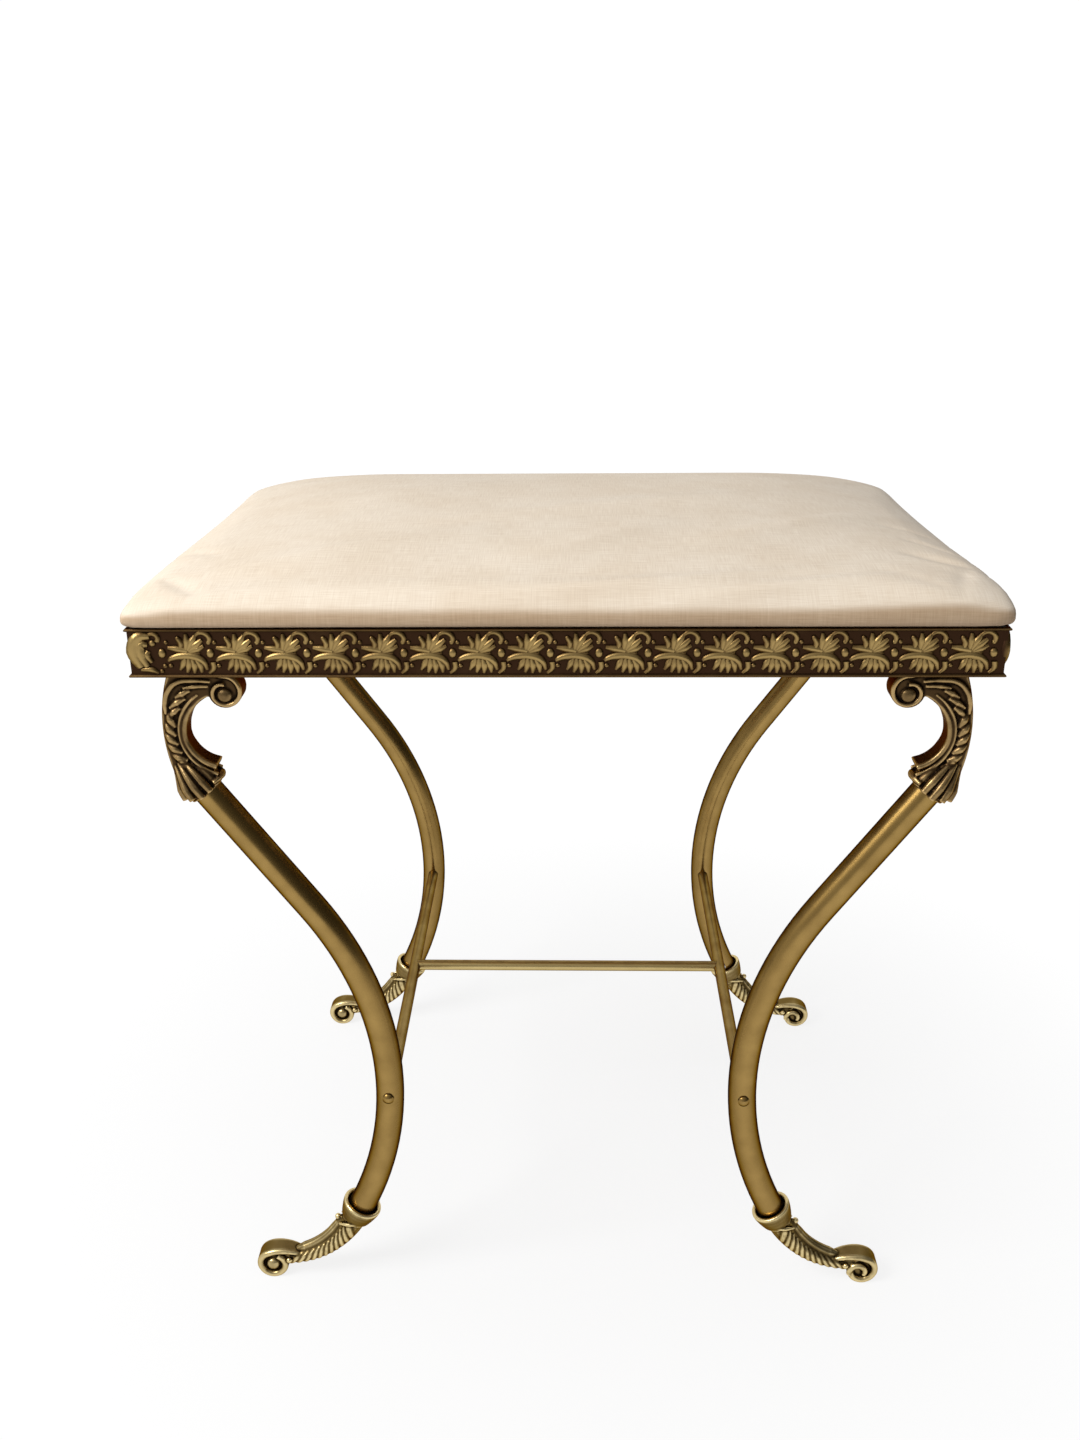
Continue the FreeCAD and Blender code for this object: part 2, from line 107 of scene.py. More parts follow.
def sewn(obj, outwards=True):
    """Sews the loose faces of a mesh together and turns them all outwards."""
    only(obj)
    bpy.ops.object.mode_set(mode="EDIT")
    bpy.ops.mesh.select_all(action="SELECT")
    bpy.ops.mesh.remove_doubles(threshold=sewing_gap)
    if outwards:
        bpy.ops.mesh.normals_make_consistent(inside=False)
    bpy.ops.object.mode_set(mode="OBJECT")
    return obj


def dressed(obj, slot, *replaced):
    """Fixes a finished piece to the stool and hides the nodes that it stands for."""
    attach(obj, "root")
    if replaced:
        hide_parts(*replaced)
    return obj


# %% [markdown]
# ## Strokes, ribbons and pearls
#
# Cast and stamped leaves are made of a few strokes: rounded bars that swell and taper. A Bezier
# curve with a radius at each point gives one, and converting it to a mesh closes its ends. A
# scroll is a flat ribbon rolled up, so it is a flat curve with an extrude and a small bevel.
# A carver would cut these into wax; here they are laid on the body and melted together.

# %% Helpers for the ornament
def smooth_curve(points, radii):
    """Bezier curve through the points, with a radius for as many of its knots as there are radii."""
    bpy.ops.curve.primitive_bezier_curve_add()
    curve = bpy.context.object
    knots = curve.data.splines[0].bezier_points
    knots.add(len(points) - 2)
    for knot, radius in zip(knots, radii):
        knot.radius = radius
    for knot, place in zip(knots, points):
        knot.co = place
        knot.handle_left_type = "AUTO"
        knot.handle_right_type = "AUTO"
    curve.data.use_fill_caps = True
    return curve


def stroke(points, radii, sides=1, steps=5):
    """Rounded bar through the points, with its thickness at each, as a closed mesh."""
    bar = smooth_curve(points, [radius * MM for radius in radii])
    bar.data.bevel_depth = 1.0
    bar.data.bevel_resolution = sides
    bar.data.resolution_u = steps
    bpy.ops.object.convert(target="MESH")
    return bpy.context.object


def ribbon(points, half_width_mm, thickness_mm, taper=(), steps=6):
    """Rolled strip: a curve in x and z, spread along y. Taper gives the share of its size at the
    first points."""
    strip = smooth_curve([(place.x, place.z, 0) for place in points], taper)
    strip.data.twist_mode = "Z_UP"
    strip.data.fill_mode = "FULL"
    middle = points[0].y
    strip.data.bevel_depth = thickness_mm / 2 * MM
    strip.data.bevel_resolution = 3
    strip.data.extrude = (half_width_mm - thickness_mm / 2) * MM
    strip.data.resolution_u = steps
    bpy.ops.object.convert(target="MESH")
    strip = sewn(bpy.context.object)
    strip.data.transform(Matrix.Translation((0, middle, 0)) @ Matrix.Rotation(math.pi / 2, 4, "X"))
    return strip


def pearl(centre, size, segments=12):
    """Round or oval bead; size is its half length along x, y and z in millimetres."""
    bpy.ops.mesh.primitive_uv_sphere_add(
        segments=segments, ring_count=segments // 2 + 1, location=centre, scale=[s * MM for s in size]
    )
    bpy.ops.object.transform_apply(location=True, rotation=True, scale=True)
    return bpy.context.object


def turned(profile, base, axis, segments=48):
    """Solid of revolution: profile is (radius, distance along the axis) in millimetres, closed."""
    bpy.ops.mesh.primitive_circle_add(vertices=len(profile), fill_type="NOTHING")
    ring = bpy.context.object
    for vertex, (radius, along) in zip(ring.data.vertices, profile):
        vertex.co = (radius * MM, 0, along * MM)
    bpy.ops.object.mode_set(mode="EDIT")
    bpy.ops.mesh.select_all(action="SELECT")
    bpy.ops.mesh.spin(steps=segments, angle=2 * math.pi, center=(0, 0, 0), axis=(0, 0, 1))
    bpy.ops.object.mode_set(mode="OBJECT")
    sewn(ring)
    turn = Vector((0, 0, 1)).rotation_difference(axis).to_matrix().to_4x4()
    ring.data.transform(Matrix.Translation(base) @ turn)
    return ring


# %% [markdown]
# ## Stamped bands
#
# Thin brass strip, stamped with a running leaf, is soldered round the frame. One repeat is a
# pearl, a leaf on two stems with lobes above and below, a crook over the next pearl and two
# small beads. It is modelled once, on a strip that faces the front, and an Array sets it along
# the strip. The strip itself is a drawn section with two raised edges, pushed along its length.

# %% Section of the strip
band_height = frame_rim - frame_under
band_proud = 1.3 * MM
band_thick = band_high.y - band_low.y
edge_height = 1.4 * MM
edge_round = 0.4 * MM
stamp_depth = 2.0 * MM
full_relief = 1.6 * MM
leaf_boldness = 1.36
main_pearl = (2.4, 2.0, 2.9)
edge_shine = 0.45
repeat = 26.6 * MM
end_leaf = 19.6 * MM


def strip_bar(length):
    """Strip along x with its raised edges in the plane y = 0 and its ends mitred."""
    half = [
        (band_thick, 0),
        (edge_round, 0),
        (0, edge_round),
        (0, edge_height - edge_round),
        (edge_round, edge_height),
        (band_proud, edge_height + edge_round),
    ]
    section = half + [(y, band_height - z) for y, z in reversed(half)]
    bpy.ops.mesh.primitive_circle_add(vertices=len(section), fill_type="NGON")
    bar = bpy.context.object
    for vertex, (y, z) in zip(bar.data.vertices, section):
        vertex.co = (-length / 2, y, z)
    bpy.ops.object.mode_set(mode="EDIT")
    bpy.ops.mesh.select_all(action="SELECT")
    bpy.ops.mesh.extrude_region_move(TRANSFORM_OT_translate={"value": (length, 0, 0)})
    bpy.ops.mesh.select_all(action="SELECT")
    bpy.ops.mesh.normals_make_consistent(inside=False)
    bpy.ops.object.mode_set(mode="OBJECT")
    for vertex in bar.data.vertices:
        vertex.co.x -= math.copysign(vertex.co.y, vertex.co.x)
    return bar


print("strip", band_height, "high and", band_thick, "thick")


# %% One repeat of the running leaf
def on_strip(x, z, lift=0.0):
    """Point on the ground of the strip, from a pearl at its middle height, in millimetres."""
    return Vector((x * MM, band_proud - lift * MM, band_height / 2 + z * MM))


def leaf_stroke(route, radii):
    """One stroke of a stamped leaf, along points on the strip."""
    return stroke([on_strip(x, z) for x, z in route], [leaf_boldness * r for r in radii], sides=1, steps=4)


def running_leaf():
    """Pearl, stems, lobes, crook and beads of one repeat, with the pearl at x = 0."""
    pieces = [
        pearl(on_strip(0, 0), main_pearl, 10),
        pearl(on_strip(2.8, 6.2), (1.4, 1.4, 1.4), 8),
        pearl(on_strip(4.2, -7.2), (1.5, 1.4, 1.4), 8),
        pearl(on_strip(9.4, 8.6), (1.5, 1.6, 1.5), 8),
        pearl(on_strip(26.2, 6.2), (1.5, 1.7, 1.5), 8),
        pearl(on_strip(15.6, 0.2), (5.8, 1.4, 4.8), 10),
        leaf_stroke([(3.6, 3.2), (8.0, 2.6), (14.2, 1.4)], (1.0, 1.6, 1.6)),
        leaf_stroke([(10.2, 2.4), (11.0, 5.4), (9.6, 8.4)], (1.2, 1.4, 1.3)),
        leaf_stroke([(3.2, -4.4), (4.6, -3.2), (10.2, -1.6), (17.4, -2.0), (22.4, -4.8), (24.2, -9.4)],
                    (0.9, 1.3, 1.8, 1.9, 1.6, 0.9)),
        leaf_stroke([(13.4, 1.8), (14.2, 7.0), (14.0, 11.2)], (1.3, 1.7, 0.9)),
        leaf_stroke([(14.4, 1.8), (17.2, 6.8), (19.2, 10.4)], (1.3, 1.8, 0.9)),
        leaf_stroke([(15.2, 1.4), (19.2, 4.8), (22.6, 7.8)], (1.3, 1.8, 1.0)),
        leaf_stroke([(15.6, 0.8), (19.8, 2.4), (23.4, 4.2)], (1.2, 1.6, 0.9)),
        leaf_stroke([(12.6, -2.2), (11.2, -6.2), (9.2, -9.6)], (1.2, 1.6, 0.8)),
        leaf_stroke([(14.4, -2.2), (14.2, -6.8), (13.0, -11.0)], (1.2, 1.7, 0.9)),
        leaf_stroke([(16.2, -2.4), (17.2, -7.0), (17.0, -11.4)], (1.2, 1.8, 0.9)),
        leaf_stroke([(18.0, -2.6), (20.4, -6.8), (21.0, -11.0)], (1.2, 1.7, 0.9)),
        leaf_stroke([(18.8, 9.6), (21.6, 11.8), (25.0, 11.2), (26.8, 8.8), (26.4, 6.4)],
                    (0.8, 1.2, 1.3, 1.3, 1.2)),
        leaf_stroke([(27.6, -5.0), (27.8, -8.6), (25.2, -11.6)], (1.4, 1.3, 0.8)),
    ]
    return joined("running_leaf", pieces)


def end_leaves():
    """Broad curled leaf that closes the strip at its left end, with the first pearl at x = 0."""
    pieces = [
        leaf_stroke([(-6.0, 9.6), (-12.4, 9.2), (-15.6, 1.0), (-12.2, -8.0)], (1.4, 2.6, 3.2, 1.8)),
        leaf_stroke([(-7.4, 4.8), (-11.0, 5.0), (-11.8, -0.8), (-8.8, -7.6)], (1.2, 2.2, 2.5, 1.5)),
        leaf_stroke([(-7.2, 1.4), (-8.4, -0.8), (-6.0, -5.2)], (1.0, 1.7, 1.1)),
        leaf_stroke([(-7.0, 10.4), (-3.6, 11.2), (-1.6, 9.2), (-2.0, 6.8)], (0.8, 1.2, 1.2, 1.3)),
        leaf_stroke([(-12.4, -9.6), (-6.4, -9.6), (-3.0, -11.4)], (1.0, 1.5, 0.8)),
        pearl(on_strip(-4.8, 5.8), (2.1, 1.8, 2.1), 8),
        pearl(on_strip(1.0, -7.4), (1.5, 1.4, 1.5), 8),
        pearl(on_strip(-1.0, -10.4), (1.4, 1.4, 1.4), 8),
    ]
    return joined("end_leaves", pieces)


def stamped_band(name, length):
    """Whole band along x, facing -y, with its raised edges in the plane y = 0."""
    start = end_leaf - length / 2
    count = int((length - 2 * end_leaf) / repeat) + 1
    leaves = running_leaf()
    applied(
        leaves, "ARRAY", count=count, use_relative_offset=False, use_constant_offset=True,
        constant_offset_displace=(repeat, 0, 0),
    )
    ends = end_leaves()
    last = pearl(on_strip(count * repeat / MM, 0), main_pearl, 10)
    for part in (leaves, ends, last):
        part.data.transform(Matrix.Translation((start, 0, 0)))
        for vertex in part.data.vertices:
            proud = max(band_proud - vertex.co.y, 0)
            vertex.co.y += proud - stamp_depth * math.tanh(proud / stamp_depth)
        only(part)
        bpy.ops.object.shade_smooth()
    bar = strip_bar(length)
    only(bar)
    bpy.ops.object.shade_smooth_by_angle(angle=math.radians(40))
    return joined(name, [bar, leaves, ends, last])


# %% Set the bands round the frame
def mark_relief(obj):
    """Stores how far each point stands off the ground of the band, from 0 to 1. The plain edges
    are dull, so they get a part of it."""
    mesh = obj.data
    relief = mesh.attributes.new("relief", "FLOAT", "POINT")
    heights = []
    for vertex in mesh.vertices:
        from_edge = min(vertex.co.z, band_height - vertex.co.z)
        shine = edge_shine if from_edge < edge_height + edge_round else 1.0
        heights.append(shine * (band_proud - vertex.co.y) / full_relief)
    relief.data.foreach_set("value", np.clip(heights, 0, 1))


band_places = {
    "front": (2 * half_width, 0, (0, -half_depth, frame_under)),
    "right": (2 * half_depth, 90, (half_width, 0, frame_under)),
    "rear": (2 * half_width, 180, (0, half_depth, frame_under)),
    "left": (2 * half_depth, -90, (-half_width, 0, frame_under)),
}
bands = []
for side, (length, turn, place) in band_places.items():
    band = stamped_band("stamped_band_" + side, length)
    mark_relief(band)
    band.data.transform(Matrix.Translation(place) @ Matrix.Rotation(math.radians(turn), 4, "Z"))
    bands.append(dressed(band, "band_brass", "trim_band_" + side))
    print(band.name, len(band.data.polygons), "faces")

# %% [markdown]
# ## Leg caps
#
# Each cap is one brass casting: a C-scroll that ends in a volute under the frame, with leaf
# lobes along its outer half and a fluted cup that takes the tube. The plain body comes from a
# copy of the frame's own cap, narrowed so that the ornament stands proud of it. Ribs, lobes,
# flutes and the rolled volute are laid on, and a voxel Remesh melts them into one skin, with
# the soft edges of a casting. Points are given from the cap's top outer corner.

# %% Body of the cap
cap_back = cap_high.x
cap_top = cap_high.z
throat = (-37.3, -38.7)
throat_radius = 24.2
volute = (-38.5, -13.8)
cup_mouth = (-21.1, -76.5)
tube_lean = math.radians(35.4)
cap_face = 5.2
cap_skin = 0.5
cup_depth = 22
cup_bore = 9.5
flute_draw = 0.87
neck_start = 9
neck_draw = 0.026


def on_cap(x, z, y=0.0):
    """Point of the cap, from its top outer corner and the leg plane, in millimetres."""
    return Vector((cap_back + x * MM, leg_plane + y * MM, cap_top + z * MM))


def round_throat(radius, degrees, y):
    """Point at an angle round the throat of the C, on or off its face."""
    angle = math.radians(degrees)
    return on_cap(throat[0] + radius * math.cos(angle), throat[1] + radius * math.sin(angle), y)


def merged_copy(node, name):
    """Copy of a node with its loose triangles sewn together."""
    copy = bpy.data.objects.new(name, nodes[node].data.copy())
    bpy.context.collection.objects.link(copy)
    copy.data.materials.clear()
    sewn(copy, outwards=False)
    bpy.ops.mesh.customdata_custom_splitnormals_clear()
    return copy


def round_tube(along, radius, degrees):
    """Point round the tube's axis at the cap: distance up from the mouth, radius, angle."""
    up = Vector((math.sin(tube_lean), 0, math.cos(tube_lean)))
    out = Vector((math.cos(tube_lean), 0, -math.sin(tube_lean)))
    angle = math.radians(degrees)
    spread = (out * math.cos(angle) + Vector((0, 1, 0)) * math.sin(angle)) * radius
    return on_cap(*cup_mouth) + (up * along + spread) * MM


def cap_body():
    """The cap's plain form, narrowed above the cup and drawn in where the flutes will lie."""
    body = merged_copy("leg_cap_front_right", "cap_body")
    foot_point = round_tube(0, 0, 0)
    up = (round_tube(1, 0, 0) - foot_point).normalized()
    for vertex in body.data.vertices:
        along = (vertex.co - foot_point).dot(up)
        if along > cup_depth * MM:
            off = vertex.co.y - leg_plane
            vertex.co.y = leg_plane + math.copysign(min(abs(off), cap_face * MM), off)
        else:
            axis = foot_point + up * along
            spread = vertex.co - axis
            drawn_in = flute_draw - neck_draw * max(along / MM - neck_start, 0)
            if spread.length > cup_bore * MM:
                vertex.co = axis + spread * drawn_in
    print("cap body", len(body.data.polygons), "faces")
    return body


# %% Ribs, lobes and flutes of the cap
def cap_lip():
    """Broad lip that lines the throat of the C and closes to a beak over the cup."""
    lined = []
    for k in range(10):
        closing = 0.7 * max(k - 5, 0)
        lined.append(round_throat(throat_radius + 0.6 - closing, 66 - 15 * k, 0))
    return ribbon(lined, 6.6, 3.4, taper=(0.55, 0.75, 0.9, 1, 1, 1, 1, 1, 1.05, 1.1))


def cap_ridge(side):
    """Fine ridge beside the lip."""
    face = side * cap_face
    fine = [round_throat(throat_radius + 3.6 - 0.16 * k, 58 - 14.6 * k, face) for k in range(10)]
    return stroke(fine, [0.6, 1.0] + [1.3] * 7 + [1.1], sides=3)


def cap_lobes(side):
    """Leaf lobes between the ridge and the back, swept up below and down above."""
    face = side * cap_face
    lobes = []
    for k in range(6):
        low = 8 - 10.6 * k
        route = [
            round_throat(throat_radius + 5.4, low, face - side * 0.6),
            round_throat(throat_radius + 8.4, low + 7, face - side * 0.2),
            round_throat(throat_radius + 11.6, low + 15, face - side * 1.6),
        ]
        lobes.append(stroke(route, (1.6, 2.5, 1.3), sides=3))
    short = [
        [(-18.4, -12.2), (-14.0, -14.2), (-9.9, -16.8)],
        [(-15.4, -17.0), (-10.6, -19.6), (-6.0, -23.0)],
        [(-12.0, -22.6), (-8.4, -25.2), (-5.2, -28.6)],
        [(-12.8, -57.6), (-9.6, -55.4), (-6.2, -53.4)],
    ]
    for leaf in short:
        lobes.append(stroke([on_cap(x, z, face) for x, z in leaf], (1.2, 2.2, 1.0), sides=3))
    long_leaf = [
        (-30.5, -7.0), (-20.0, -6.2), (-12.0, -7.4), (-6.8, -12.0), (-3.8, -19.3), (-3.4, -26.5),
    ]
    side_leaf = [(-29.0, -9.8), (-21.0, -9.8), (-15.0, -11.0)]
    for leaf in (long_leaf, side_leaf):
        route = [on_cap(x, z, face) for x, z in leaf]
        lobes.append(stroke(route, [1.0] + [1.7] * (len(leaf) - 2) + [0.9], sides=3))
    return lobes


def cap_flutes():
    """Twelve rounded flutes that fan out over the tube, flared outside, and the curl inside."""
    flutes = []
    count = 12
    for k in range(count):
        turn = 360 / count * k
        across = abs(math.sin(math.radians(turn)))
        outer = max(math.cos(math.radians(turn)), 0)
        inner = max(-math.cos(math.radians(turn)), 0)
        route = [
            round_tube(21 + 3 * across, 5.0 + 0.8 * outer, turn),
            round_tube(15, 8.6, turn),
            round_tube(8 + 2 * outer, 10.6 + 0.6 * outer, turn),
            round_tube(-0.4 + 4.8 * outer + 1.2 * inner, 11.2 + 1.9 * outer, turn),
        ]
        flutes.append(stroke(route, (1.0, 2.2, 2.7, 2.2), sides=3))
    curl = [round_tube(3.2, 13.2, turn) for turn in (138, 159, 180, 201, 222)]
    flutes.append(stroke(curl, (1.0, 2.0, 2.5, 2.0, 1.0), sides=3))
    return flutes


def cap_volute():
    """Strip that runs in under the frame, rolls up into the volute and holds its eye."""
    rolled = [on_cap(-14, -2.0), on_cap(-26, -1.8)]
    reaches = [10.6, 9.9, 9.1, 8.4, 7.8, 7.4, 7.2, 7.2, 7.1, 6.6, 5.9, 5.2]
    for k, reach in enumerate(reaches):
        angle = math.radians(78 + 34 * k)
        rolled.append(on_cap(volute[0] + reach * math.cos(angle), volute[1] + reach * math.sin(angle)))
    strip = ribbon(rolled, 7.0, 2.6)
    core = turned(
        [(0.01, -3.8), (8.0, -3.8), (8.0, 3.8), (0.01, 3.8)], on_cap(*volute), Vector((0, 1, 0))
    )
    eyes = [
        pearl(on_cap(volute[0] + 0.3, volute[1] - 1.4, side * 4.8), (4.6, 3.0, 4.6), 24)
        for side in (-1, 1)
    ]
    return [strip, core] + eyes


# %% Melt the cap together
def cast(name, pieces, skin):
    """Joins pieces into one closed skin with the soft edges of a casting."""
    whole = joined(name, pieces)
    applied(whole, "REMESH", mode="VOXEL", voxel_size=skin * MM)
    applied(whole, "SMOOTH", factor=0.5, iterations=2)
    only(whole)
    bpy.ops.object.shade_smooth()
    return whole


def mark_hollows(obj, spread):
    """Stores how exposed each point is: 0 in a groove, 0.5 on a flat, 1 on a ridge."""
    mesh = obj.data
    count = len(mesh.vertices)
    place = np.empty(count * 3)
    facing = np.empty(count * 3)
    mesh.vertices.foreach_get("co", place)
    mesh.vertex_normals.foreach_get("vector", facing)
    place = place.reshape(-1, 3)
    facing = facing.reshape(-1, 3)
    ends = np.empty(len(mesh.edges) * 2, dtype=int)
    mesh.edges.foreach_get("vertices", ends)
    a, b = ends.reshape(-1, 2).T
    links = np.bincount(a, minlength=count) + np.bincount(b, minlength=count)
    step = place[b] - place[a]
    length = np.linalg.norm(step, axis=1) + 1e-12
    rise_a = -(step * facing[a]).sum(1) / length
    rise_b = (step * facing[b]).sum(1) / length
    bulge = np.bincount(a, rise_a, count) + np.bincount(b, rise_b, count)
    bulge = bulge / np.maximum(links, 1)
    for _ in range(spread):
        around = np.bincount(a, bulge[b], count) + np.bincount(b, bulge[a], count)
        bulge = 0.4 * bulge + 0.6 * around / np.maximum(links, 1)
    scale = np.percentile(np.abs(bulge), 92)
    relief = mesh.attributes.new("relief", "FLOAT", "POINT")
    relief.data.foreach_set("value", np.clip(0.5 + 0.5 * bulge / scale, 0, 1))


cap_pieces = [cap_body(), cap_lip()] + cap_volute() + cap_flutes()
for side in (-1, 1):
    cap_pieces += [cap_ridge(side)] + cap_lobes(side)
cap = cast("cast_cap", cap_pieces, cap_skin)
mark_hollows(cap, 3)
print("cap", len(cap.data.polygons), "faces")

# %% [markdown]
# ## Feet
#
# Each foot is a casting too: a plain-rimmed cup with a little room round the tube, a collar
# with a bead, a bent shank with a smooth spine and slanted gadroons, and a toe rolled up into a
# scroll. The shank follows one cubic curve, so every stroke on it is placed by how far along
# the curve it is and by its angle round the shank. The toes differ a little: on the right the
# roll shows its end, on the left a domed eye fills it. Points are from the scroll's middle.

# %% Shank of the foot
toe_radius = 10.3
toe_x = foot_high.x - toe_radius * MM
toe_height = 9.8
foot_mouth = (-63.4, 59.0)
foot_lean = math.radians(26.3)
foot_skin = 0.5
shank_handles = [Vector(p) for p in ((-59.3, 50.8), (-47.3, 26.5), (-29.0, 12.6), (0.0, 12.6))]
shank_thick = 9.2
shank_thin = 5.6


def on_foot(x, z, y=0.0):
    """Point of the foot, from the floor under the scroll's middle, in millimetres."""
    return Vector((toe_x + x * MM, leg_plane + y * MM, z * MM))


def shank_line(t):
    """Point on the shank's curve and the direction that points up out of it."""
    points = shank_handles
    while len(points) > 2:
        points = [p.lerp(q, t) for p, q in zip(points, points[1:])]
    along = (points[1] - points[0]).normalized()
    return points[0].lerp(points[1], t), Vector((-along.y, along.x))


def shank_radius(t):
    """The shank thins out towards the toe."""
    return shank_thick + (shank_thin - shank_thick) * t


def round_shank(t, degrees, out=0.0):
    """Point on the shank: 0 degrees is its top, 90 the front side, 180 the underside."""
    spot, top = shank_line(t)
    angle = math.radians(degrees)
    radius = shank_radius(t) + out
    rise = radius * math.cos(angle)
    return on_foot(spot.x + top.x * rise, spot.y + top.y * rise, -radius * math.sin(angle))


def foot_shank():
    """The bare shank and the smooth spine along its top."""
    places = [k / 8 for k in range(9)]
    middles = [on_foot(*shank_line(t)[0]) for t in places]
    bare = stroke(middles, [shank_radius(t) - 0.9 for t in places], sides=6)
    run = [0.1 + 0.085 * k for k in range(9)]
    spine = stroke([round_shank(t, 0, -2.4) for t in run], [2.4, 3.8, 4.1] + [3.9] * 5 + [2.6], sides=4)
    knob = pearl(round_shank(0.13, 0, 1.2), (2.1, 2.1, 2.1), 12)
    return [bare, spine, knob]


def foot_gadroons(side):
    """Slanted ribs like a rope's down one side of the shank, the collar's V above them and a bead
    where they end."""
    ribs = []
    count = 11
    for k in range(count):
        t = 0.05 + 0.68 * k / (count - 1)
        size = 2.3 - 0.5 * k / (count - 1)
        route = [
            round_shank(t, side * 50, -2.0),
            round_shank(t + 0.06, side * 80, -1.5),
            round_shank(t + 0.12, side * 110, -1.6),
            round_shank(t + 0.16, side * 138, -2.5),
        ]
        ribs.append(stroke(route, (0.75 * size, size, size, 0.8 * size), sides=3))
    collar = [(0.0, 120, 0.8), (0.05, 74, 1.0), (0.14, 34, 0.6)]
    route = [round_shank(t, side * degrees, out) for t, degrees, out in collar]
    ribs.append(stroke(route, (0.9, 1.3, 0.9), sides=3))
    ribs.append(pearl(round_shank(0.86, side * 80, 0.4), (2.0, 1.8, 2.0), 12))
    return ribs


def foot_cup():
    """Plain cup with a thin rim that stands clear of the tube."""
    up = Vector((-math.sin(foot_lean), 0, math.cos(foot_lean)))
    mouth = on_foot(*foot_mouth)
    wall = [
        (10.4, 0.2), (11.4, 0.7), (12.6, 0.5), (13.1, -0.4), (13.0, -2.0), (12.4, -5.0), (11.4, -8.5),
        (10.2, -12.0), (7.0, -13.5), (7.0, -6.0), (10.4, -5.0),
    ]
    core = turned([(0.01, -14.5), (8.8, -14.5), (8.8, -11.2), (0.01, -11.2)], mouth, up)
    return [turned(wall, mouth, up), core]


def foot_toe(eye):
    """Rolled toe: one strip that leaves the shank, goes over and round, and ends inside."""
    rolled = [on_foot(-25, 15.8), on_foot(-19, 17.4), on_foot(-12, 19.6), on_foot(-5, 20.4)]
    turns = 10 if eye else 8
    for k in range(turns):
        angle = math.radians(80 - 36 * k)
        reach = max(9.6 - 0.5 * k, 8.1 if eye else 7.9)
        rolled.append(on_foot(reach * math.cos(angle), toe_height + reach * math.sin(angle)))
    strip = ribbon(rolled, 7.0, 4.4, taper=(0.5, 0.7, 0.86, 0.95))
    core = turned(
        [(0.01, -4.0), (8.0, -4.0), (8.0, 4.0), (0.01, 4.0)], on_foot(0, toe_height), Vector((0, 1, 0))
    )
    pieces = [strip, core]
    for side in (-1, 1):
        if eye:
            pieces.append(pearl(on_foot(0.2, toe_height, side * 4.0), (4.5, 3.2, 4.5), 24))
        else:
            curl = [(-8.2, -3.6), (-7.4, 1.2), (-3.8, 3.8), (0.4, 2.4), (2.2, -1.0), (1.4, -4.2)]
            route = [on_foot(x, toe_height + z, side * 5.0) for x, z in curl]
            pieces.append(stroke(route, (2.0, 2.2, 2.2, 2.1, 2.0, 1.5), sides=4))
    return pieces


# %% Melt the feet together
def cast_foot(name, eye):
    """One foot, flat where it stands on the floor."""
    pieces = foot_shank() + foot_cup() + foot_toe(eye)
    for side in (-1, 1):
        pieces += foot_gadroons(side)
    foot = cast(name, pieces, foot_skin)
    for vertex in foot.data.vertices:
        vertex.co.z = max(vertex.co.z, 0.0)
    mark_hollows(foot, 3)
    print(name, len(foot.data.polygons), "faces")
    return foot


foot_right = cast_foot("cast_foot_right", False)
foot_left = cast_foot("cast_foot_left", True)


# %% Set a cap and a foot at each corner
def at_corner(obj, name, flip_x, flip_y):
    """Copy of a front right piece, mirrored to its corner, with its faces outwards."""
    copy = bpy.data.objects.new(name, obj.data.copy())
    bpy.context.collection.objects.link(copy)
    copy.data.transform(Matrix.Diagonal((-1 if flip_x else 1, -1 if flip_y else 1, 1, 1)))
    if flip_x != flip_y:
        copy.data.flip_normals()
    return copy


castings = []
for end in ("front", "rear"):
    for hand in ("right", "left"):
        corner = end + "_" + hand
        turned_over = (hand == "left", end == "rear")
        top = at_corner(cap, "cast_cap_" + corner, *turned_over)
        model = foot_left if hand == "left" else foot_right
        toe = at_corner(model, "cast_foot_" + corner, *turned_over)
        castings.append(dressed(top, "cast_brass", "leg_cap_" + corner))
        castings.append(dressed(toe, "cast_brass", "foot_" + corner))
for model in (cap, foot_right, foot_left):
    bpy.data.objects.remove(model)
print(len(castings), "castings")

# %% [markdown]
# ## Cushion
#
# The pad is foam under tightly pulled cloth. It starts as a copy of the frame's foam, which is a
# little smaller than the covered seat. Voxel Remesh gives it even cells, and Blender's Cloth
# blows it up slightly, held along its foot where the frame grips it, so the cloth finds its
# own soft roll. Then small moves of the points shape it further: the rear corners sink, the roll
# swells out over the rim, and creases run across the top and in short tucks at the corners.

# %% Blow up the pad
pad_cell = 4.0 * MM
cloth_thick = 1.2 * MM
most_swell = 2.0 * MM
grip = frame_rim + 1.0 * MM
cloth_pressure = 0.4
cloth_stiffness = 40.0
cloth_steps = 20

pad = merged_copy("seat_foam", "seat_pad")
applied(pad, "REMESH", mode="VOXEL", voxel_size=pad_cell)
applied(pad, "SMOOTH", factor=0.5, iterations=2)
applied(pad, "DISPLACE", strength=cloth_thick, mid_level=0.0)
held = pad.vertex_groups.new(name="held")
held.add([v.index for v in pad.data.vertices if v.co.z < grip], 1.0, "REPLACE")
before = [v.co.copy() for v in pad.data.vertices]
only(pad)
cloth = pad.modifiers.new("cloth", "CLOTH")
cloth.settings.use_pressure = True
cloth.settings.uniform_pressure_force = cloth_pressure
cloth.settings.vertex_group_mass = held.name
cloth.settings.effector_weights.gravity = 0.0
cloth.settings.tension_stiffness = cloth_stiffness
cloth.settings.compression_stiffness = cloth_stiffness
for step in range(1, cloth_steps + 1):
    bpy.context.scene.frame_set(step)
bpy.ops.object.modifier_apply(modifier=cloth.name)
bpy.context.scene.frame_set(1)
moved = 0.0
